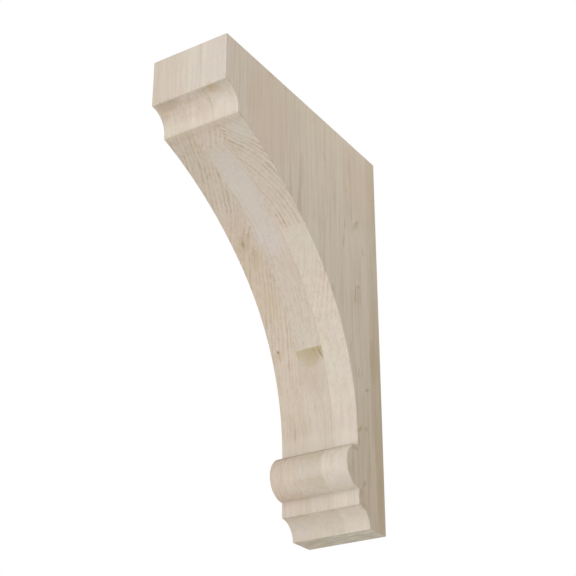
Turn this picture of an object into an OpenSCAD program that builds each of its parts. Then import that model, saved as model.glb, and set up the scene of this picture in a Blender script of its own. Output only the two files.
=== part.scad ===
// Corbel bracket, its outline cut through a solid wooden blank.
// Seen from the side, a square head stands out at the top, a long hollow arch of two arcs
// falls from it to a narrow foot, and a half-round bead, a band and a cove finish the base.
// The origin is the middle of the back face. The back lies against the wall at Y = 0,
// the corbel stands out towards -Y, and Z points up.

/* [Blank] */
// Width, along the wall
width = 63.5; // [38:0.5:150]
// How far the head stands out from the wall
projection = 203.2; // [150:0.1:260]
// Height, from the underside of the base to the flat top
height = 304.8; // [260:0.1:460]

/* [Head] */
// Height of the flat front of the head
head_face_h = 37.5; // [20:0.5:75]
// Radius of the cove under the front of the head
head_cove_r = 15; // [6:0.5:30]
// Height of the upright band between that cove and the arch
head_band_h = 4; // [1:0.5:20]

/* [Arch] */
// Degrees that the lower, tighter arc turns through
lower_turn = 46; // [15:1:60]
// Radius of the upper arc, as a multiple of the lower one
arc_ratio = 1.45; // [1:0.01:2]
// Length of the upright between the bead and the arch
upright_h = 6; // [1:0.5:30]

/* [Base] */
// Depth of the foot, from the wall to the flats above and below the bead
foot_depth = 36.4; // [24:0.1:70]
// Radius of the cove along the bottom front edge
base_cove_r = 14.2; // [4:0.1:22]
// Height of the upright band between that cove and the bead
base_band_h = 11.2; // [2:0.1:40]
// Radius of the half-round bead
bead_r = 15.9; // [5:0.1:30]

/* [Hidden] */

// Facets of the curves, for the preview only
$fn = 240;

// Heights are measured up from the underside of the base, depths out from the wall.
bead_mid_h = base_cove_r + base_band_h + bead_r;
head_cove_h = height - head_face_h - head_cove_r;
arch_foot = [foot_depth, bead_mid_h + bead_r + upright_h];
arch_head = [projection - head_cove_r, head_cove_h - head_band_h];

// The arch rises upright from its foot. Its lower arc turns through lower_turn, and the upper
// arc goes on from there without a corner and ends at the band under the head. Only one pair
// of radii does both, and the size of the lower one is the root of a quadratic.
arch_span = arch_head - arch_foot;
span_k = [1 - cos(lower_turn) + arc_ratio * cos(lower_turn),
          (1 - arc_ratio) * sin(lower_turn)];
root_a = arch_span * arch_span;
root_b = arch_span * span_k;
root_c = span_k * span_k - arc_ratio * arc_ratio;
lower_r = root_a / (root_b + sqrt(root_b * root_b - root_a * root_c));
upper_r = arc_ratio * lower_r;

// The two arcs meet on the line through both centres.
meeting_line = [-cos(lower_turn), sin(lower_turn)];
lower_mid = arch_foot + [lower_r, 0];
upper_mid = lower_mid + (lower_r - upper_r) * meeting_line;
arc_meet = lower_mid + lower_r * meeting_line;

// Wood from the wall out to a depth, between two heights
module plate(depth, from_h, to_h) {
    translate([0, from_h]) square([depth, to_h - from_h]);
}

// A disc about a point of the side view
module disc(mid, r) {
    translate(mid) circle(r = r);
}

// Foot, with the cove along its bottom edge and the bead standing half out of it
module foot_outline() {
    difference() {
        plate(foot_depth, 0, arch_foot.y);
        disc([foot_depth, 0], base_cove_r);
    }
    // A bead thicker than the foot is still flat at the wall
    intersection() {
        disc([foot_depth, bead_mid_h], bead_r);
        plate(projection, 0, arch_foot.y);
    }
}

// The wood behind the arch, hollowed by the lower arc, and by the upper one from where they meet
module arch_outline() {
    difference() {
        plate(arch_head.x, arch_foot.y, arch_head.y);
        disc(lower_mid, lower_r);
        intersection() {
            disc(upper_mid, upper_r);
            plate(projection, arc_meet.y, height);
        }
    }
}

// Head, a band under a block with the cove along the block's bottom front edge
module head_outline() {
    plate(arch_head.x, arch_head.y, head_cove_h);
    difference() {
        plate(projection, head_cove_h, height);
        disc([projection, head_cove_h], head_cove_r);
    }
}

module bracket() {
    color("burlywood")
    translate([0, 0, -height / 2])
    rotate([90, 0, -90])
    linear_extrude(height = width, center = true)
    union() {
        foot_outline();
        arch_outline();
        head_outline();
    }
}

bracket();
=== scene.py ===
"""Wooden corbel bracket: the shaped bracket, its glued-up maple, and a plain studio round it.

The side view is a closed run of lines and arcs, worked out from a few sizes. Geometry nodes sweep
it through the width, and its outer edges are eased by a touch of sandpaper. The wood is a blank
of three layers, each of narrow staves, and every stave has its own growth rings, which the
material works out in depth, so that each face cuts through them as a saw would.
"""

import math
from collections import namedtuple

import bmesh
import bpy
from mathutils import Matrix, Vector


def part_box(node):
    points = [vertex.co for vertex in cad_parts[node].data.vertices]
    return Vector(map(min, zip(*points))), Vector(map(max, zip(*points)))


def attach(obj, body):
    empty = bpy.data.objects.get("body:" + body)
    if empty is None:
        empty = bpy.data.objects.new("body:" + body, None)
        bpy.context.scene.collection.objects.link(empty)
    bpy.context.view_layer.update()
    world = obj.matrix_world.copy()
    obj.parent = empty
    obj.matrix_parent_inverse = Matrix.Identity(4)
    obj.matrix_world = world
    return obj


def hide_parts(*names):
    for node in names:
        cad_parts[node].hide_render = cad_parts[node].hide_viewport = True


bl_info = {
    "name": "Corbel Bracket",
    "version": (1, 0, 0),
    "blender": (4, 5, 0),
    "location": "3D View > Sidebar > Corbel",
    "description": "Builds a wooden corbel bracket, its glued-up maple and a plain studio",
    "category": "Add Mesh",
}

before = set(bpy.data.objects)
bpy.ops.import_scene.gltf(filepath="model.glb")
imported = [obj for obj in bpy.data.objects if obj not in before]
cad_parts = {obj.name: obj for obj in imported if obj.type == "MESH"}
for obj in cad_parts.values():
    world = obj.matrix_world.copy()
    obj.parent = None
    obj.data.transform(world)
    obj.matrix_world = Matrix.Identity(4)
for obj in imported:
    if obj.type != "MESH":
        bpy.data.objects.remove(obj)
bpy.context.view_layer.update()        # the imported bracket, standing in its own frame
LOW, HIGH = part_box("bracket")
WIDTH, PROJECTION, HEIGHT = HIGH - LOW
MM = 0.001
WELD = 0.01 * MM             # points closer together than this become one
CORNER = math.radians(30)    # an edge that turns further than this is a corner
EASED_FACETS = 4             # facets round each eased edge
FEWEST_FACES = 100           # fewer faces than this, and the outline did not close


# Sizes and colours that a user would change

class CorbelSizes(bpy.types.PropertyGroup):
    """Sizes of the outline. The width, projection and height are the frame's own."""

    head_face_h: bpy.props.FloatProperty(
        name="Head face", description="Height of the flat front of the head",
        default=37.5 * MM, subtype="DISTANCE")
    head_cove_r: bpy.props.FloatProperty(
        name="Head cove", description="Radius of the cove under the front of the head",
        default=15 * MM, subtype="DISTANCE")
    head_band_h: bpy.props.FloatProperty(
        name="Head band", description="Height of the upright band between that cove and the arch",
        default=4 * MM, subtype="DISTANCE")
    lower_turn: bpy.props.FloatProperty(
        name="Lower turn", description="Angle that the lower, tighter arc of the arch turns through",
        default=math.radians(46), subtype="ANGLE")
    arc_ratio: bpy.props.FloatProperty(
        name="Arc ratio", description="Radius of the upper arc, as a multiple of the lower one",
        default=1.45, min=1)
    upright_h: bpy.props.FloatProperty(
        name="Upright", description="Length of the upright between the bead and the arch",
        default=6 * MM, subtype="DISTANCE")
    foot_depth: bpy.props.FloatProperty(
        name="Foot depth", description="Depth of the foot, from the wall to its flats",
        default=36.4 * MM, subtype="DISTANCE")
    base_cove_r: bpy.props.FloatProperty(
        name="Base cove", description="Radius of the cove along the bottom front edge",
        default=14.2 * MM, subtype="DISTANCE")
    base_band_h: bpy.props.FloatProperty(
        name="Base band", description="Height of the upright band between that cove and the bead",
        default=11.2 * MM, subtype="DISTANCE")
    bead_r: bpy.props.FloatProperty(
        name="Bead", description="Radius of the half-round bead",
        default=15.9 * MM, subtype="DISTANCE")
    eased_r: bpy.props.FloatProperty(
        name="Eased edge", description="Radius that sandpaper leaves on the outer edges",
        default=0.7 * MM, subtype="DISTANCE")
    facet: bpy.props.FloatProperty(
        name="Facet", description="Longest straight facet along an arc",
        default=1 * MM, subtype="DISTANCE")


class CorbelWood(bpy.types.PropertyGroup):
    """Colours and strengths of the maple."""

    early_colour: bpy.props.FloatVectorProperty(
        name="Early wood", description="Colour of the pale wood between the ring lines",
        default=(0.655, 0.577, 0.496), subtype="COLOR", min=0, max=1)
    late_colour: bpy.props.FloatVectorProperty(
        name="Late wood", description="Colour that ring lines and streaks darken towards",
        default=(0.40, 0.30, 0.20), subtype="COLOR", min=0, max=1)
    left_joint: bpy.props.FloatProperty(
        name="Left joint", description="Place of the glue line between the left and middle layers",
        default=-10.4 * MM, subtype="DISTANCE")
    right_joint: bpy.props.FloatProperty(
        name="Right joint", description="Place of the glue line between the middle and right layers",
        default=11.25 * MM, subtype="DISTANCE")
    roughness: bpy.props.FloatProperty(
        name="Roughness", description="Roughness of the bare, sanded surface",
        default=0.62, min=0, max=1, subtype="FACTOR")


class CorbelStudio(bpy.types.PropertyGroup):
    """Camera, lights and floor."""

    azimuth: bpy.props.FloatProperty(
        name="Azimuth", description="How far the camera stands round to the corbel's right",
        default=math.radians(32.9), subtype="ANGLE")
    elevation: bpy.props.FloatProperty(
        name="Elevation", description="Height of the camera above the corbel, as an angle",
        default=math.radians(-26.84), subtype="ANGLE")
    distance: bpy.props.FloatProperty(
        name="Distance", description="Distance from the camera to the point it looks at",
        default=0.95, subtype="DISTANCE")
    target: bpy.props.FloatVectorProperty(
        name="Target", description="Point that the camera looks at",
        default=(0.00065, -0.07818, 0.01743), subtype="XYZ")
    lens: bpy.props.FloatProperty(
        name="Lens", description="Focal length on a 36 mm wide sensor, in millimetres",
        default=82.15, subtype="DISTANCE_CAMERA")
    floor_drop: bpy.props.FloatProperty(
        name="Floor", description="How far the floor lies below the corbel's origin",
        default=0.8, subtype="DISTANCE")
    surround: bpy.props.FloatProperty(
        name="Surround", description="Strength of the even light from all round",
        default=0.5, min=0)
    low_power: bpy.props.FloatProperty(
        name="Low light", description="Power of the low light in front, in watts",
        default=5.3, min=0, subtype="POWER")
    high_power: bpy.props.FloatProperty(
        name="High light", description="Power of the high light in front, in watts",
        default=4.3, min=0, subtype="POWER")
    back_power: bpy.props.FloatProperty(
        name="Back light", description="Power of the high light behind on the right, in watts",
        default=8.2, min=0, subtype="POWER")
    left_power: bpy.props.FloatProperty(
        name="Left light", description="Power of the light on the left, a little behind, in watts",
        default=2.1, min=0, subtype="POWER")


# The outline

Line = namedtuple("Line", "name start end")
Arc = namedtuple("Arc", "name centre radius start sweep")


def arch_arcs(foot, head, turn, ratio):
    """The arch's two arcs, from its upright foot to the band under the head.

    The lower arc leaves the foot upright and turns through turn. The upper one, ratio times
    larger, goes on from it without a corner. The lower radius is the root of a quadratic.
    """
    span = head - foot
    k = Vector((1 - math.cos(turn) + ratio * math.cos(turn), (1 - ratio) * math.sin(turn)))
    a, b, c = span.dot(span), span.dot(k), k.dot(k) - ratio * ratio
    lower_r = a / (b + math.sqrt(b * b - a * c))
    upper_r = ratio * lower_r
    lower_mid = foot + Vector((lower_r, 0))
    meeting_line = Vector((-math.cos(turn), math.sin(turn)))
    upper_mid = lower_mid + (lower_r - upper_r) * meeting_line
    to_head = head - upper_mid
    upper_end = math.atan2(to_head.y, to_head.x)
    return (
        Arc("Upper Arch", upper_mid, upper_r, upper_end, math.pi - turn - upper_end),
        Arc("Lower Arch", lower_mid, lower_r, math.pi - turn, turn),
    )


def outline(sizes):
    """The side view as lines and arcs, depth out from the wall by height above the base."""
    bead_mid_h = sizes.base_cove_r + sizes.base_band_h + sizes.bead_r
    bead_top_h = bead_mid_h + sizes.bead_r
    cove_h = HEIGHT - sizes.head_face_h - sizes.head_cove_r
    foot = Vector((sizes.foot_depth, bead_top_h + sizes.upright_h))
    head = Vector((PROJECTION - sizes.head_cove_r, cove_h - sizes.head_band_h))
    quarter = math.pi / 2
    base_front = sizes.foot_depth - sizes.base_cove_r
    return (
        Line("Back", Vector((0, 0)), Vector((0, HEIGHT))),
        Line("Top", Vector((0, HEIGHT)), Vector((PROJECTION, HEIGHT))),
        Line("Head Face", Vector((PROJECTION, HEIGHT)),
             Vector((PROJECTION, cove_h + sizes.head_cove_r))),
        Arc("Head Cove", Vector((PROJECTION, cove_h)), sizes.head_cove_r, quarter, quarter),
        Line("Head Band", Vector((head.x, cove_h)), head),
        *arch_arcs(foot, head, sizes.lower_turn, sizes.arc_ratio),
        Line("Upright", foot, Vector((foot.x, bead_top_h))),
        Arc("Bead", Vector((foot.x, bead_mid_h)), sizes.bead_r, quarter, -2 * quarter),
        Line("Base Band", Vector((foot.x, bead_mid_h - sizes.bead_r)),
             Vector((foot.x, sizes.base_cove_r))),
        Arc("Base Cove", Vector((foot.x, 0)), sizes.base_cove_r, quarter, quarter),
        Line("Underside", Vector((base_front, 0)), Vector((0, 0))),
    )


# Geometry nodes

def add_node(tree, kind, inputs=None, **settings):
    """A new node of a tree, with its settings, and its inputs set or linked by name or number."""
    node = tree.nodes.new(kind)
    for name, value in settings.items():
        setattr(node, name, value)
    for name, value in (inputs or {}).items():
        if isinstance(value, bpy.types.NodeSocket):
            tree.links.new(value, node.inputs[name])
        else:
            node.inputs[name].default_value = value
    return node


class SweepTree:
    """Geometry nodes that draw an outline from lines and arcs and sweep it through a width."""

    def __init__(self, strokes, facet):
        self.tree = bpy.data.node_groups.new("Corbel Sweep", "GeometryNodeTree")
        self.values = {}
        self.start = add_node(self.tree, "NodeGroupInput")
        width = self.size("Width", WIDTH)
        facet = self.size("Facet", facet)
        height = self.size("Height", HEIGHT)
        material = self.socket("Material", "NodeSocketMaterial", None)
        runs = [self.arc(s, facet) if isinstance(s, Arc) else self.line(s) for s in strokes]
        self.finish(self.joined(runs), width, height, material)

    def socket(self, name, kind, value):
        """A named input of the tree, and the value that the modifier gives it."""
        item = self.tree.interface.new_socket(name, in_out="INPUT", socket_type=kind)
        self.values[item.identifier] = value
        return self.start.outputs[name]

    def size(self, name, value):
        """A named input for a length or an angle."""
        return self.socket(name, "NodeSocketFloat", value)

    def point(self, name, value):
        """A named input for a point of the side view."""
        return self.socket(name, "NodeSocketVector", (value.x, value.y, 0))

    def line(self, stroke):
        """One straight stroke."""
        ends = {"Start": self.point(stroke.name + " Start", stroke.start),
                "End": self.point(stroke.name + " End", stroke.end)}
        return add_node(self.tree, "GeometryNodeCurvePrimitiveLine", ends).outputs[0]

    def arc(self, stroke, facet):
        """One arc, with as many facets as its length needs."""
        radius = self.size(stroke.name + " Radius", stroke.radius)
        sweep = self.size(stroke.name + " Sweep", stroke.sweep)
        length = self.math("MULTIPLY", radius, self.math("ABSOLUTE", sweep))
        points = self.math("ADD", self.math("DIVIDE", length, facet), 2)
        arc = add_node(self.tree, "GeometryNodeCurveArc", {
            "Resolution": points, "Radius": radius, "Sweep Angle": sweep,
            "Start Angle": self.size(stroke.name + " Start", stroke.start)}, mode="RADIUS")
        place = self.point(stroke.name + " Centre", stroke.centre)
        move = {"Geometry": arc.outputs["Curve"], "Translation": place}
        return add_node(self.tree, "GeometryNodeTransform", move).outputs[0]

    def math(self, operation, first, second=0):
        """A Math node."""
        inputs = {0: first, 1: second}
        return add_node(self.tree, "ShaderNodeMath", inputs, operation=operation).outputs[0]

    def joined(self, runs):
        """The runs as one closed curve."""
        join = add_node(self.tree, "GeometryNodeJoinGeometry")
        for run in runs:
            self.tree.links.new(run, join.inputs[0])
        edges = add_node(self.tree, "GeometryNodeCurveToMesh", {"Curve": join.outputs[0]})
        merged = add_node(self.tree, "GeometryNodeMergeByDistance",
                          {"Geometry": edges.outputs[0], "Distance": WELD})
        loop = add_node(self.tree, "GeometryNodeMeshToCurve", {"Mesh": merged.outputs[0]})
        return loop.outputs[0]

    def finish(self, loop, width, height, material):
        """Fills the curve, sweeps it through the width and stands it in the frame."""
        side = add_node(self.tree, "GeometryNodeFillCurve", {"Curve": loop}, mode="NGONS")
        through = add_node(self.tree, "ShaderNodeCombineXYZ", {"Z": width})
        swept = add_node(self.tree, "GeometryNodeExtrudeMesh", {
            "Mesh": side.outputs[0], "Offset": through.outputs[0], "Individual": False})
        other = add_node(self.tree, "GeometryNodeFlipFaces", {"Mesh": side.outputs[0]})
        both = add_node(self.tree, "GeometryNodeJoinGeometry", {0: swept.outputs["Mesh"]})
        self.tree.links.new(other.outputs[0], both.inputs[0])
        solid = add_node(self.tree, "GeometryNodeMergeByDistance",
                         {"Geometry": both.outputs[0], "Distance": WELD})
        place = add_node(self.tree, "ShaderNodeCombineXYZ", {
            "X": self.math("MULTIPLY", width, 0.5), "Z": self.math("MULTIPLY", height, -0.5)})
        quarter = math.pi / 2
        stood = add_node(self.tree, "GeometryNodeTransform", {
            "Geometry": solid.outputs[0], "Translation": place.outputs[0],
            "Rotation": (quarter, 0, -quarter)})
        real = add_node(self.tree, "GeometryNodeRealizeInstances", {0: stood.outputs[0]})
        dressed = add_node(self.tree, "GeometryNodeSetMaterial",
                           {"Geometry": real.outputs[0], "Material": material})
        self.tree.interface.new_socket("Geometry", in_out="OUTPUT",
                                       socket_type="NodeSocketGeometry")
        add_node(self.tree, "NodeGroupOutput", {0: dressed.outputs[0]})


def evaluated_mesh(piece):
    """A plain mesh of what a piece looks like with its modifiers."""
    depsgraph = bpy.context.evaluated_depsgraph_get()
    return bpy.data.meshes.new_from_object(
        piece.evaluated_get(depsgraph), preserve_all_data_layers=True, depsgraph=depsgraph)


def settle_modifiers(piece):
    """Replaces a piece's mesh by its evaluated one and clears its modifiers."""
    mesh = evaluated_mesh(piece)
    piece.modifiers.clear()
    piece.data = mesh
    mesh.name = piece.name


def ease_edges(mesh, radius):
    """Rounds the outward corners, and marks the inward ones sharp."""
    bm = bmesh.new()
    bm.from_mesh(mesh)
    if bm.calc_volume(signed=True) < 0:
        bmesh.ops.reverse_faces(bm, faces=bm.faces)
    turns = {edge: edge.calc_face_angle_signed() for edge in bm.edges}
    for edge, turn in turns.items():
        edge.smooth = turn > -CORNER
    bmesh.ops.bevel(bm, geom=[edge for edge, turn in turns.items() if turn > CORNER],
                    offset=radius, offset_type="OFFSET", segments=EASED_FACETS, profile=0.5,
                    affect="EDGES", clamp_overlap=True, material=-1)
    for face in bm.faces:
        face.smooth = True
    bm.to_mesh(mesh)
    bm.free()


# The wood

class Shader:
    """A material's node tree, built up from formulas. Lengths in it are millimetres."""

    def __init__(self, name):
        self.material = bpy.data.materials.new(name)
        self.material.use_nodes = True
        self.tree = self.material.node_tree
        self.surface = self.tree.nodes["Principled BSDF"]
        place = add_node(self.tree, "ShaderNodeTexCoord")
        self.at = self.vector("SCALE", place.outputs["Object"], scale=1 / MM)
        self.across, self.out, self.height = self.split(self.at)
        self.facing = self.split(place.outputs["Normal"])

    def math(self, operation, first, second=0.0, third=0.0, clamp=False):
        """A Math node."""
        return add_node(self.tree, "ShaderNodeMath", {0: first, 1: second, 2: third},
                        operation=operation, use_clamp=clamp).outputs[0]

    def product(self, *values):
        """All the values multiplied together."""
        result = values[0]
        for value in values[1:]:
            result = self.math("MULTIPLY", result, value)
        return result

    def vector(self, operation, first, second=None, scale=None):
        """A Vector Math node."""
        inputs = {0: first}
        if second is not None:
            inputs[1] = second
        if scale is not None:
            inputs["Scale"] = scale
        node = add_node(self.tree, "ShaderNodeVectorMath", inputs, operation=operation)
        return node.outputs["Value" if operation in ("LENGTH", "DOT_PRODUCT") else "Vector"]

    def split(self, vector):
        """A vector's X, Y and Z."""
        return add_node(self.tree, "ShaderNodeSeparateXYZ", {0: vector}).outputs

    def mix(self, share, first, second):
        """A blend of two vectors or colours."""
        node = add_node(self.tree, "ShaderNodeMix", data_type="VECTOR")
        values = {"Factor_Float": share, "A_Vector": first, "B_Vector": second}
        for socket in node.inputs:
            if socket.identifier in values:
                value = values[socket.identifier]
                if isinstance(value, bpy.types.NodeSocket):
                    self.tree.links.new(value, socket)
                else:
                    socket.default_value = value
        return next(s for s in node.outputs if s.identifier == "Result_Vector")

    def noise(self, size, detail=2.0, roughness=0.5, colour=False):
        """Noise whose blobs have a size, in millimetres along X, Y and Z."""
        place = self.vector("DIVIDE", self.at, size)
        node = add_node(self.tree, "ShaderNodeTexNoise",
                        {"Vector": place, "Scale": 1.0, "Detail": detail, "Roughness": roughness})
        return node.outputs["Color" if colour else "Fac"]

    def shift(self, size, reach):
        """Noise as a vector, up to about half of reach each way."""
        noise = self.noise(size, colour=True)
        return self.vector("MULTIPLY", self.vector("SUBTRACT", noise, (0.5, 0.5, 0.5)), reach)

    def band(self, value, low, high, out_low=0.0, out_high=1.0):
        """A smooth step between two values."""
        return add_node(self.tree, "ShaderNodeMapRange", {
            "Value": value, "From Min": low, "From Max": high,
            "To Min": out_low, "To Max": out_high}, interpolation_type="SMOOTHSTEP").outputs[0]


# A stave of the glued-up blank. Lengths are millimetres, in the bracket's own frame.
#   reach: how far out from the wall its front face lies
#   heart: the heart of the tree it came from, along X and Y
#   gap: from one growth ring to the next
#   depth: how strongly its rings show
#   edge: how dark the wood is at its front, against the stave before it
#   tint: its colour, as shares of the wood's own
Stave = namedtuple("Stave", "reach heart gap depth edge tint")

LEFT_STAVES = (
    Stave(204, (-271, -258), 3.2, 0.74, 0, (0.965, 0.950, 0.943)),
    Stave(124, (119, -8), 2.7, 0.62, 0, (0.980, 0.941, 0.918)),
)
MIDDLE_STAVES = (
    Stave(204, (-150, -260), 3.4, 0.62, 0, (1.010, 1.005, 1.024)),
    Stave(170.5, (-200, -110), 3.0, 0.34, 0, (0.974, 0.965, 0.981)),
    Stave(50.7, (-60, -20), 3.2, 0.28, 0.94, (0.985, 0.973, 0.975)),
)
RIGHT_STAVES = (
    Stave(204, (-68, -103), 3.3, 0.52, 0, (1.012, 1.010, 1.027)),
    Stave(104.5, (-100, -168), 3.0, 0.37, 0, (1.058, 1.059, 1.076)),
    Stave(57.5, (-180, -30), 3.6, 0.18, 0, (1.065, 1.070, 1.080)),
    Stave(16, (-90, 60), 2.6, 0.45, 0, (1.030, 1.020, 1.000)),
)
LAYERS = (LEFT_STAVES, MIDDLE_STAVES, RIGHT_STAVES)

# Heights between which the look of the grain changes, in millimetres from the bracket's middle
ARCH_END = (92, 98)
ABOVE_BEAD = (-94, -84)
UNDERSIDE = (-151.5, -150)

# A mark in the wood's colour: a knot, a fleck of ray, a stain, or a patch of paler, darker
# or other-tinted wood; some, noted below, are painted shade and some painted light.
#   place, size: its middle and its reach, in millimetres along X, Y and Z
#   lean: how far it moves along X and Y for each millimetre up
#   colour: one of MARK_COLOURS
#   strength: from 0 to 1
Mark = namedtuple("Mark", "place size lean colour strength")
RIGHT = 32       # the right side, for a mark's place
ACROSS = 300     # right across the bracket, for a mark's size

MARK_COLOURS = {
    "knot": (0.22, 0.155, 0.07),
    "brown": (0.34, 0.235, 0.13),
    "olive": (0.46, 0.375, 0.225),
    "rust": (0.52, 0.32, 0.14),
    "rose": (0.47, 0.35, 0.27),
    "pale": (0.76, 0.69, 0.60),
    "amber": (0.56, 0.46, 0.32),
    "ash": (0.62, 0.59, 0.53),
    "chalk": (0.68, 0.66, 0.65),
    "blush": (0.62, 0.46, 0.36),
}

FRONT_MARKS = (
    Mark((13.5, -203, 134), (1.8, 3, 34), (0, 0), "pale", 0.24),
    Mark((12, -203, 134), (25, 4, 32), (0, 0), "pale", 0.10),
    Mark((22, -203, 134), (14, 4, 32), (0, 0), "chalk", 0.08),
    Mark((-7, -203, 134), (4.5, 3, 34), (0, 0), "blush", 0.09),
    Mark((0, -188, 98), (ACROSS, 6, 8), (0, 0), "pale", 0.28),
    Mark((23, -191, 104), (12, 10, 9), (0, 0), "pale", 0.24),
    Mark((3, -190, 104), (8.5, 9, 8), (0, 0), "blush", 0.22),
    Mark((3, -191, 105), (9, 10, 9), (0, 0), "rose", 0.07),
    Mark((-1.5, -203, 132), (1.0, 3, 30), (0, 0), "brown", 0.12),
    Mark((3, -203, 128), (0.9, 3, 24), (0, 0), "brown", 0.12),
    Mark((10, -203, 132), (0.9, 3, 30), (0, 0), "brown", 0.16),
    Mark((17.2, -199, 114.4), (5.4, 6, 3.6), (0, 0), "rust", 0.25),
    Mark((20.4, -198.6, 113.2), (4.4, 5, 3.0), (0, 0), "amber", 0.45),
    # Painted shade: a brown line in the top of the head cove, under the head's front face
    Mark((14, -199, 115), (13, 4, 3), (0, 0), "brown", 0.24),
    Mark((-26, -194, 112), (5, 5, 6), (0, 0), "rust", 0.20),
    # Painted shade: two more brown lines in the top of the head cove, under the head's front face
    Mark((-20, -199, 114), (12, 6, 5), (0, 0), "brown", 0.28),
    Mark((-4, -197, 113), (13, 3, 3), (0, 0), "brown", 0.18),
    Mark((10.5, -195, 106), (0.9, 12, 16), (0, 0), "brown", 0.22),
    Mark((-22.3, -103, 48.7), (1.7, 3.5, 3.2), (0.5, 0), "knot", 0.50),
    Mark((-21.5, -103, 49), (7, 9, 10), (0.6, 0), "olive", 0.30),
    Mark((-17.4, -98, 44), (1.6, 6, 5), (0.8, 0), "brown", 0.30),
    Mark((-17, -92, 40), (5, 10, 10), (0.6, 0), "olive", 0.28),
    Mark((-25.3, -51.6, -18), (1.2, 3, 1.6), (0, 0), "knot", 0.75),
    Mark((-24.5, -51, -19), (3.5, 4, 5), (0, 0), "rust", 0.20),
    Mark((9, -48.5, -24), (1.1, 3, 7), (-0.40, 0), "brown", 0.70),
    Mark((5, -48.5, -24), (1.0, 3, 6), (-0.35, 0), "brown", 0.45),
    Mark((1, -46.5, -27), (7.5, 4, 8.5), (0, 0), "olive", 0.42),
    # Painted shade: a brown band over the top of the bead, in the crease under the upright
    Mark((0, -45.5, -96.3), (ACROSS, 5.5, 2.6), (0, 0), "brown", 0.43),
    # Partly the middle stave's paler tone and partly a painted sheen: a pale grey patch on its upper
    # arch
    Mark((0, -148, 68), (14, 50, 36), (0, 0), "chalk", 0.32),
    Mark((0, -28, -146), (ACROSS, 14, 9), (0, 0), "ash", 0.20),
    Mark((0, -28, -145), (ACROSS, 14, 9), (0, 0), "rose", 0.06),
    Mark((-21, -28, -145), (14, 14, 9), (0, 0), "chalk", 0.24),
    Mark((9, -23, -150), (5, 4, 3), (0, 0), "olive", 0.20),
    Mark((0.5, -53, -104), (12.5, 9, 10), (0, 0), "amber", 0.24),
    # Painted light: these two pale marks lift the short upright above the bead, where the bead
    # shades it
    Mark((0, -38, -90), (ACROSS, 5, 13), (0, 0), "pale", 0.27),
    Mark((23, -38, -90), (14, 5, 11), (0, 0), "pale", 0.52),
    Mark((-20, -36.4, -77), (1.2, 4, 9), (0, 0), "brown", 0.25),
    Mark((22, -48, -122), (15, 11, 9), (0, 0), "chalk", 0.22),
    Mark((20, -48, -122), (17, 11, 9), (0, 0), "rose", 0.17),
    Mark((0.5, -48, -121), (13, 10, 8), (0, 0), "brown", 0.08),
    Mark((-23, -37, -133), (14, 4, 8), (0, 0), "chalk", 0.17),
    Mark((-13, -30, -144), (2.2, 9, 6), (0.2, 0), "rose", 0.12),
    Mark((4, -30, -143), (3.0, 9, 5), (0.3, 0), "rose", 0.10),
    Mark((15, -30, -145), (4.0, 9, 6), (-0.2, 0), "pale", 0.22),
    # Painted shade: a brown band across the top of the arch, in the crease just under the head band
    Mark((0, -187, 93.4), (ACROSS, 7, 4.4), (0, 0), "brown", 0.18),
    Mark((24, -178, 86), (13, 18, 11), (0, 0), "ash", 0.62),
    Mark((0.5, -173, 82), (9, 9, 7), (0, 0), "chalk", 0.42),
    Mark((-22, -94, 32), (10, 32, 32), (0, 0), "amber", 0.15),
    Mark((-24, -86, 20), (8, 24, 28), (0, 0), "blush", 0.15),
    Mark((-22, -124, 60), (12, 12, 8), (0, 0), "rose", 0.06),
    Mark((-22, -127, 65), (12, 12, 10), (0, 0), "chalk", 0.12),
    Mark((-22, -69, 12), (12, 16, 16), (0, 0), "amber", 0.25),
    # Partly the middle stave's paler tone and partly a painted sheen: a pale grey patch lower on its
    # upper arch
    Mark((0, -108, 52), (14, 28, 23), (0, 0), "chalk", 0.28),
    Mark((0.5, -44, -36), (12, 13, 23), (0, 0), "rose", 0.24),
    Mark((22, -129, 67), (13, 17, 14), (0, 0), "rose", 0.10),
    Mark((22, -90, 34), (14, 28, 28), (0, 0), "ash", 0.34),
)
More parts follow.
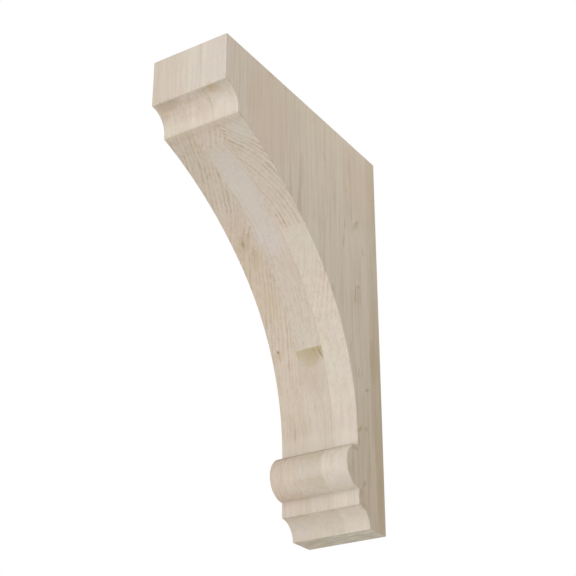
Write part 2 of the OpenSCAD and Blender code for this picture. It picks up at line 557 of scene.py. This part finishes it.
SIDE_MARKS = (
    Mark((RIGHT, -31.5, 84), (4, 1.8, 3.0), (0, 1.1), "knot", 0.32),
    Mark((RIGHT, -31, 82.5), (5, 4.4, 6.5), (0, 0.8), "olive", 0.36),
    Mark((RIGHT, -35, 77.5), (4, 1.8, 5), (0, 0.3), "brown", 0.23),
    Mark((RIGHT, -38, 88), (4, 1.8, 9), (0, 0), "rose", 0.28),
    Mark((RIGHT, -48, 75), (4, 1.6, 8), (0, 0.1), "brown", 0.34),
    Mark((RIGHT, -50, 61), (4, 1.8, 9), (0, 0.2), "brown", 0.26),
    Mark((RIGHT, -44, 107), (4, 2.2, 5), (0, 0.35), "brown", 0.20),
    Mark((RIGHT, -46, 95), (4, 1.4, 9), (0, 0), "brown", 0.12),
    Mark((RIGHT, -40, 128), (4, 2.6, 12), (0, 0), "rose", 0.23),
    Mark((RIGHT, -63, 94), (4, 1.5, 10), (0, 0), "brown", 0.17),
    Mark((RIGHT, -76, 120), (4, 2.4, 5), (0, -0.3), "brown", 0.24),
    Mark((RIGHT, -22, 63), (4, 2.4, 6), (0, -0.1), "brown", 0.24),
    Mark((RIGHT, -83, 49), (4, 1.6, 6), (0, 0), "brown", 0.19),
    Mark((RIGHT, -80, 34), (4, 2.2, 7), (0, -0.3), "brown", 0.14),
    Mark((RIGHT, -67, 14), (4, 2.2, 3.5), (0, 0), "brown", 0.20),
    Mark((RIGHT, -30.5, 30), (4, 3.0, 2.4), (0, 0.1), "brown", 0.36),
    Mark((RIGHT, -34.5, 22), (4, 1.4, 10), (0, 0.12), "brown", 0.34),
    Mark((RIGHT, -27.5, 23), (4, 1.3, 8), (0, -0.1), "brown", 0.30),
    Mark((RIGHT, -31, 20), (4, 2.6, 9), (0, 0), "amber", 0.60),
    Mark((RIGHT, -43, -23), (4, 1.3, 6), (0, 0), "rose", 0.33),
    Mark((RIGHT, -37, -40), (4, 1.6, 7), (0, 0), "brown", 0.19),
    Mark((RIGHT, -32.5, -40), (4, 1.3, 6), (0, 0.15), "brown", 0.23),
    Mark((RIGHT, -27.5, -39), (4, 1.3, 5), (0, 0.15), "brown", 0.17),
    Mark((RIGHT, -21, -49), (4, 2.6, 2.2), (0, 1.0), "brown", 0.45),
    Mark((RIGHT, -27.5, -61), (4, 1.6, 6), (0, 0), "brown", 0.19),
    Mark((RIGHT, -33, -83), (4, 3.0, 4), (0, 0.8), "olive", 0.60),
    Mark((RIGHT, -24.5, -80), (4, 3.4, 2.2), (0, 0), "rose", 0.45),
    Mark((RIGHT, -34.5, -92), (4, 1.6, 7), (0, 0), "brown", 0.32),
    Mark((RIGHT, -40, -99), (4, 5, 2.4), (0, 1.0), "rose", 0.55),
    Mark((RIGHT, -49, -117), (4, 3.4, 5), (0, 0), "rose", 0.27),
    Mark((RIGHT, -29, -122), (4, 3.4, 3.0), (0, 0.8), "brown", 0.42),
    Mark((RIGHT, -31, -133), (3, 6, 10), (0, 0.2), "rust", 0.18),
    Mark((RIGHT, -34, -130), (4, 3, 5), (0, 0.4), "brown", 0.27),
    Mark((RIGHT, -29, -138), (4, 5, 3), (0, 0), "brown", 0.19),
    Mark((RIGHT, -109, 88), (4, 3.2, 24), (0, 0.04), "rose", 0.30),
    Mark((RIGHT, -112, 64), (4, 3.0, 14), (0, 0), "olive", 0.36),
    Mark((RIGHT, -187, 124), (4, 1.6, 22), (0, 0), "rose", 0.19),
    Mark((RIGHT, -148, 118), (2, 34, 55), (0, 0), "blush", 0.34),
    Mark((RIGHT, -30, 120), (2, 20, 45), (0, 0), "blush", 0.26),
    Mark((RIGHT, -57.5, 95), (4, 2.0, 62), (0, 0.02), "pale", 0.39),
    Mark((RIGHT, -92, 100), (4, 1.4, 45), (0, 0), "pale", 0.24),
    Mark((RIGHT, -14, -114), (4, 2.8, 38), (0, 0), "pale", 0.46),
    Mark((RIGHT, -10, -24), (4, 8, 26), (0, 0), "olive", 0.48),
    Mark((RIGHT, -8, -80), (4, 6, 34), (0, 0), "olive", 0.28),
    Mark((RIGHT, -7, -126), (4, 6, 30), (0, 0), "olive", 0.36),
    Mark((RIGHT, -7, 110), (4, 4, 30), (0, 0), "rust", 0.14),
    Mark((RIGHT, -24, -125), (2, 36, 100), (0, 0), "amber", 0.24),
    Mark((RIGHT, -4, 0), (2, 12, 280), (0, 0), "olive", 0.26),
    Mark((RIGHT, -148, 150), (4, 5, 2.5), (0, 0), "rust", 0.35),
    Mark((RIGHT, -128, 149), (4, 4, 2), (0, 0), "rust", 0.22),
    Mark((RIGHT, -92, 144), (4, 3, 4), (0, 0.8), "rust", 0.16),
    Mark((RIGHT, -44, 143), (4, 5, 3), (0, 1.0), "rust", 0.16),
    Mark((RIGHT, -11, -75), (4, 1.0, 50), (0, 0), "rust", 0.30),
    Mark((RIGHT, -5.5, -115), (4, 1.2, 40), (0, 0), "rust", 0.25),
    Mark((RIGHT, -30, -108), (2, 1.2, 28), (0, 0), "brown", 0.20),
    Mark((RIGHT, -23.5, -128), (2, 1.2, 24), (0, 0), "brown", 0.22),
    Mark((RIGHT, -20.5, -92), (2, 1.0, 40), (0, 0), "brown", 0.16),
    Mark((RIGHT, -27, -70), (2, 1.0, 26), (0, 0), "brown", 0.16),
    Mark((RIGHT, -46, -36), (2, 2.4, 1.6), (0, 0.6), "brown", 0.30),
    Mark((RIGHT, -43, -52), (2, 3.0, 1.8), (0, 0.5), "brown", 0.26),
    Mark((RIGHT, -58, -12), (2, 1.4, 7), (0, 0), "brown", 0.24),
    Mark((RIGHT, -45, -112), (2, 1.4, 10), (0, 0), "brown", 0.16),
    Mark((RIGHT, -60, 140), (2, 110, 30), (0, 0), "amber", 0.14),
    Mark((RIGHT, -30, 112), (2, 70, 50), (0, 0), "brown", 0.045),
    Mark((RIGHT, -7, 64), (2, 8, 56), (0, 0), "chalk", 0.24),
    Mark((RIGHT, -92, 36), (2, 28, 28), (0, 0), "pale", 0.30),
    Mark((RIGHT, -56, -22), (2, 18, 34), (0, 0), "pale", 0.24),
    Mark((RIGHT, -28, 72), (2, 18, 30), (0, 0), "pale", 0.17),
    Mark((RIGHT, -158, 82), (2, 60, 36), (0, 0), "pale", 0.19),
)


def pick(shader, inner, past, values):
    """The value that belongs to the stave a point lies in, from one value for each stave."""
    layers = []
    for masks, own in zip(inner, values):
        value = own[0]
        for mask, other in zip(masks, own[1:]):
            value = shader.mix(mask, value, other)
        layers.append(value)
    return shader.mix(past[1], shader.mix(past[0], layers[0], layers[1]), layers[2])


def growth_rings(shader, place, gap):
    """How dark the growth rings are: 0 in the pale wood and up to 1 on a ring's edge."""
    seed = shader.math("MULTIPLY", shader.split(place)[2], 3.7)
    wander = shader.shift((50, 50, 190), (9, 9, 0))
    ripple = shader.shift((6, 6, 11), (1.9, 1.9, 0))
    away = shader.vector("ADD", shader.vector("SUBTRACT", shader.at, place), wander)
    away = shader.vector("MULTIPLY", shader.vector("ADD", away, ripple), (1, 1, 0))
    ring_at = shader.math("DIVIDE", shader.vector("LENGTH", away), gap)
    spacing = add_node(shader.tree, "ShaderNodeTexNoise", {
        "W": shader.math("MULTIPLY_ADD", ring_at, 0.45, seed), "Scale": 1.0, "Detail": 1.0},
        noise_dimensions="1D").outputs["Fac"]
    ring_at = shader.math("MULTIPLY_ADD", spacing, 1.3, ring_at)
    through = shader.math("FRACT", ring_at)
    own_depth = add_node(shader.tree, "ShaderNodeTexWhiteNoise", {
        "W": shader.math("ADD", shader.math("FLOOR", ring_at), seed)},
        noise_dimensions="1D").outputs["Value"]
    line = shader.math("MULTIPLY", shader.band(through, 0.20, 0.85),
                       shader.band(through, 0.86, 1.0, 1.0, 0.0))
    broken = shader.band(shader.noise((4, 4, 8), 2.0, 0.6), 0.36, 0.60, 0.50, 1.0)
    faded = shader.band(shader.noise((15, 15, 26), 1.0), 0.36, 0.62, 0.55, 1.22)
    own_depth = shader.math("MULTIPLY_ADD", own_depth, 0.75, 0.25)
    return shader.product(line, broken, faded, own_depth)


def mark_shares(shader, marks):
    """For each colour of mark, how strongly the marks of that colour show at a point."""
    frayed = shader.vector("ADD", shader.at, shader.shift((2, 2, 5), (2.2, 2.2, 5.0)))
    shares = {}
    for mark in marks:
        off = shader.vector("SUBTRACT", frayed, mark.place)
        if any(mark.lean):
            up = shader.split(off)[2]
            slide = shader.vector("SCALE", (*mark.lean, 0), scale=up)
            off = shader.vector("SUBTRACT", off, slide)
        away = shader.vector("LENGTH", shader.vector("DIVIDE", off, mark.size))
        share = shader.band(away, 0.45, 1.05, mark.strength, 0.0)
        if mark.colour in shares:
            share = shader.math("MAXIMUM", share, shares[mark.colour])
        shares[mark.colour] = share
    return shares


def staves_at(shader, wood):
    """For the stave at each point: its place; its gap, depth and edge; and its tint."""
    past = [shader.math("GREATER_THAN", shader.across, joint / MM)
            for joint in (wood.left_joint, wood.right_joint)]
    inner = [[shader.math("GREATER_THAN", shader.out, -stave.reach) for stave in staves[1:]]
             for staves in LAYERS]
    places = [[(*stave.heart, stave.reach) for stave in staves] for staves in LAYERS]
    figures = [[(stave.gap, stave.depth, stave.edge) for stave in staves] for staves in LAYERS]
    tints = [[stave.tint for stave in staves] for staves in LAYERS]
    return [pick(shader, inner, past, values) for values in (places, figures, tints)]


def darkness(shader, wood, ring, streak):
    """How far the wood darkens, with its rings, fibres, streaks and pores, and its glue lines."""
    sideways, _, up = shader.facing
    sideways = shader.math("ABSOLUTE", sideways)
    # The rings show most where a face cuts across the grain, and less on the head and the foot
    cut = shader.product(shader.band(shader.math("ABSOLUTE", up), 0.25, 0.60, 0.38, 1.0),
                         shader.band(shader.height, *ARCH_END, 1.0, 0.28),
                         shader.band(shader.height, *ABOVE_BEAD, 0.5, 1.0))
    dark = shader.math("MULTIPLY", ring, cut)
    fibre = shader.noise((0.8, 0.8, 20), 3.0, 0.6)
    speckle = shader.noise((1.0, 1.0, 2.4), 2.0, 0.6)
    pore = shader.band(shader.noise((0.30, 0.30, 3.2), 1.0), 0.60, 0.74)
    broad = shader.math("MULTIPLY_ADD", sideways, 0.40, 0.54)
    for value, middle, strength in ((fibre, 0.5, 0.54), (streak, 0.5, broad),
                                    (speckle, 0.5, 0.36), (pore, 0.0, 0.10)):
        swing = shader.math("SUBTRACT", value, middle)
        dark = shader.math("MULTIPLY_ADD", swing, strength, dark)
    for joint, strength in ((wood.left_joint, 0.08), (wood.right_joint, 0.22)):
        away = shader.math("ABSOLUTE", shader.math("SUBTRACT", shader.across, joint / MM))
        thin = shader.noise((40, 9, 16), 2.0)
        line = shader.band(away, 0.15, 0.65, strength, 0.0)
        dark = shader.math("MULTIPLY_ADD", line, thin, dark)
    return shader.math("ADD", dark, 0.08, clamp=True)


def stave_front(shader, reach, edge, streak):
    """How far a stave is darker in the few millimetres behind its front, where it has an edge."""
    inward = shader.math("ADD", shader.math("ADD", shader.out, reach), streak)
    shallow = shader.band(inward, 1.0, 5.5, 1.0, 0.0)
    leftward = shader.band(shader.across, -10, 3, 0.70, 1.0)
    low_down = shader.band(shader.height, -100, -60, 0.25, 1.0)
    high_up = shader.band(shader.height, 0, 60, 1.0, 0.0)
    return shader.product(edge, shallow, leftward, low_down, high_up)


def end_grain_and_top_shade(shader):
    """The tint of end grain, with painted shade: browner where it faces up, partly for the end grain
    and partly as painted shade of faces that the light from below misses; and with short grey
    streaks where it faces down, which are strong on the underside and faint in the tops of the
    coves.
    """
    up = shader.facing[2]
    # Painted shade: faces that point up turn browner, partly for their end grain and partly as shade
    brown = shader.mix(shader.band(up, 0.60, 0.95), (1, 1, 1), (0.82, 0.79, 0.73))
    ray = shader.math("MULTIPLY_ADD", shader.noise((14, 2.2, 9), 2.0), 1.16, 0.35)
    grey = shader.vector("SCALE", (0.93, 0.99, 1.01), scale=ray)
    downward = shader.product(shader.band(up, -0.95, -0.99),
                              shader.band(shader.height, *UNDERSIDE, 1.0, 0.30))
    return shader.vector("MULTIPLY", brown, shader.mix(downward, (1, 1, 1), grey))


def maple(wood):
    """Bare maple, with growth rings, fibres, pores and natural marks, and a few marks of painted
    shade and painted light.
    """
    shader = Shader("maple")
    place, figure, tint = staves_at(shader, wood)
    gap, depth, edge = shader.split(figure)
    ring = shader.math("MULTIPLY", growth_rings(shader, place, gap), depth)
    streak = shader.noise((3.2, 3.2, 80), 2.0)
    dark = darkness(shader, wood, ring, streak)
    colour = shader.mix(dark, wood.early_colour, wood.late_colour)

    # The staves' own tints, the slow drift of colour, and the marks, with their painted shade and
    # light
    colour = shader.vector("MULTIPLY", colour, tint)
    for size, reach in (((30, 30, 55), (0.07, 0.06, 0.09)), ((6, 6, 11), (0.06, 0.05, 0.07))):
        drift = shader.vector("ADD", shader.shift(size, reach), (1, 1, 1))
        colour = shader.vector("MULTIPLY", colour, drift)
    front = stave_front(shader, shader.split(place)[2], edge, streak)
    colour = shader.mix(front, colour, MARK_COLOURS["olive"])
    for name, share in mark_shares(shader, FRONT_MARKS + SIDE_MARKS).items():
        colour = shader.mix(share, colour, MARK_COLOURS[name])
    # The end grain's tint, with painted shade on the faces that point up
    colour = shader.vector("MULTIPLY", colour, end_grain_and_top_shade(shader))

    bump = add_node(shader.tree, "ShaderNodeBump", {
        "Strength": 0.30, "Distance": 0.12 * MM,
        "Height": shader.math("MULTIPLY", dark, -1.0)}).outputs[0]
    shader.tree.links.new(colour, shader.surface.inputs["Base Color"])
    shader.tree.links.new(bump, shader.surface.inputs["Normal"])
    shader.surface.inputs["Roughness"].default_value = wood.roughness
    shader.surface.inputs["Specular IOR Level"].default_value = 0.35
    return shader.material


# The operators

FLOOR_WIDTH = 12.0                  # metres, as the next three are
LIGHT_WIDTH = 0.7
LIGHT_DISTANCE = 1.3                # from the point that the lights are aimed at
LIT_POINT = Vector((0, -0.1, 0))
SENSOR_WIDTH = 36                   # millimetres


def new_object(name, data):
    """A new object, shown in the scene."""
    made = bpy.data.objects.new(name, data)
    bpy.context.scene.collection.objects.link(made)
    return made


def direction(azimuth, elevation):
    """The way from the corbel to a viewer in front, turned to its right and raised."""
    level = math.cos(elevation)
    return Vector((math.sin(azimuth) * level, -math.cos(azimuth) * level, math.sin(elevation)))


class CORBEL_OT_bracket(bpy.types.Operator):
    """Build the bracket, sweep its outline and give it its wood"""

    bl_idname = "corbel.bracket"
    bl_label = "Bracket"

    def execute(self, context):
        sizes = context.scene.corbel_sizes
        sweep = SweepTree(outline(sizes), sizes.facet)
        piece = new_object("corbel_bracket", bpy.data.meshes.new("corbel_bracket"))
        modifier = piece.modifiers.new("Sweep", "NODES")
        modifier.node_group = sweep.tree
        wood = maple(context.scene.corbel_wood)
        for identifier, value in sweep.values.items():
            modifier[identifier] = wood if value is None else value
        settle_modifiers(piece)
        ease_edges(piece.data, sizes.eased_r)
        normals = piece.modifiers.new("Weighted Normal", "WEIGHTED_NORMAL")
        normals.keep_sharp = True
        settle_modifiers(piece)
        if len(piece.data.polygons) < FEWEST_FACES:
            raise RuntimeError("the outline did not close, so the bracket has no solid")
        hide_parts("bracket")
        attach(piece, "root")
        return {"FINISHED"}


class CORBEL_OT_studio(bpy.types.Operator):
    """Set up the floor, the lights, the white surround and the camera"""

    bl_idname = "corbel.studio"
    bl_label = "Studio"

    def execute(self, context):
        studio = context.scene.corbel_studio
        self.add_floor(studio)
        self.add_surround(context.scene, studio)
        self.add_lights(studio)
        self.add_camera(context.scene, studio)
        context.scene.view_settings.view_transform = "Standard"
        return {"FINISHED"}

    def add_floor(self, studio):
        """A plain, pale floor."""
        half = FLOOR_WIDTH / 2
        mesh = bpy.data.meshes.new("floor")
        corners = [(x, y, -studio.floor_drop) for x, y in
                   ((-half, -half), (half, -half), (half, half), (-half, half))]
        mesh.from_pydata(corners, [], [(0, 1, 2, 3)])
        paint = bpy.data.materials.new("floor_paint")
        paint.use_nodes = True
        surface = paint.node_tree.nodes["Principled BSDF"]
        surface.inputs["Base Color"].default_value = (0.88, 0.87, 0.85, 1)
        surface.inputs["Roughness"].default_value = 0.8
        mesh.materials.append(paint)
        new_object("floor", mesh)

    def add_surround(self, scene, studio):
        """A world that lights softly, and that is plain white where it is seen."""
        world = bpy.data.worlds.new("surround")
        world.use_nodes = True
        tree = world.node_tree
        tree.nodes.clear()
        light = add_node(tree, "ShaderNodeBackground", {"Strength": studio.surround,
                                                        "Color": (1.03, 1, 0.945, 1)})
        seen = add_node(tree, "ShaderNodeBackground", {"Strength": 1.0, "Color": (1, 1, 1, 1)})
        ray = add_node(tree, "ShaderNodeLightPath").outputs["Is Camera Ray"]
        both = add_node(tree, "ShaderNodeMixShader", {
            0: ray, 1: light.outputs[0], 2: seen.outputs[0]})
        add_node(tree, "ShaderNodeOutputWorld", {"Surface": both.outputs[0]})
        scene.world = world

    def add_lights(self, studio):
        """Round soft lights, each aimed at the middle of the corbel."""
        for name, power, colour, azimuth, elevation in (
                ("low_light", studio.low_power, (0.955, 1, 1.035), 0, -25),
                ("high_light", studio.high_power, (0.965, 1, 1.015), 0, 25),
                ("back_light", studio.back_power, (1.055, 1, 0.86), 160, 50),
                ("left_light", studio.left_power, (1.055, 1, 0.86), -110, 10)):
            light = bpy.data.lights.new(name, "AREA")
            light.shape = "DISK"
            light.size = LIGHT_WIDTH
            light.energy = power
            light.color = colour
            lamp = new_object(name, light)
            away = direction(math.radians(azimuth), math.radians(elevation))
            lamp.location = LIT_POINT + LIGHT_DISTANCE * away
            lamp.rotation_euler = away.to_track_quat("Z", "Y").to_euler()

    def add_camera(self, scene, studio):
        """The camera, in front of the corbel, to its right and below it."""
        camera = bpy.data.cameras.new("camera")
        camera.sensor_width = SENSOR_WIDTH
        camera.lens = studio.lens
        made = new_object("camera", camera)
        back = direction(studio.azimuth, studio.elevation)
        made.location = Vector(studio.target) + back * studio.distance
        made.rotation_euler = back.to_track_quat("Z", "Y").to_euler()
        scene.camera = made


class CORBEL_PT_panel(bpy.types.Panel):
    """Sizes, colours and buttons of the corbel."""

    bl_idname = "CORBEL_PT_panel"
    bl_label = "Corbel Bracket"
    bl_space_type = "VIEW_3D"
    bl_region_type = "UI"
    bl_category = "Corbel"

    def draw(self, context):
        for settings, button in (("corbel_sizes", CORBEL_OT_bracket),
                                 ("corbel_wood", None),
                                 ("corbel_studio", CORBEL_OT_studio)):
            group = getattr(context.scene, settings)
            box = self.layout.box()
            for name in group.bl_rna.properties.keys():
                if name not in ("rna_type", "name"):
                    box.prop(group, name)
            if button:
                box.operator(button.bl_idname)


SETTINGS = {"corbel_sizes": CorbelSizes, "corbel_wood": CorbelWood, "corbel_studio": CorbelStudio}
CLASSES = (*SETTINGS.values(), CORBEL_OT_bracket, CORBEL_OT_studio, CORBEL_PT_panel)


def register():
    for cls in CLASSES:
        bpy.utils.register_class(cls)
    for name, cls in SETTINGS.items():
        setattr(bpy.types.Scene, name, bpy.props.PointerProperty(type=cls))


def unregister():
    for name in SETTINGS:
        delattr(bpy.types.Scene, name)
    for cls in reversed(CLASSES):
        bpy.utils.unregister_class(cls)


def main():
    """Builds everything in order."""
    register()
    bpy.ops.corbel.bracket()
    bpy.ops.corbel.studio()


if __name__ == "__main__":
    main()
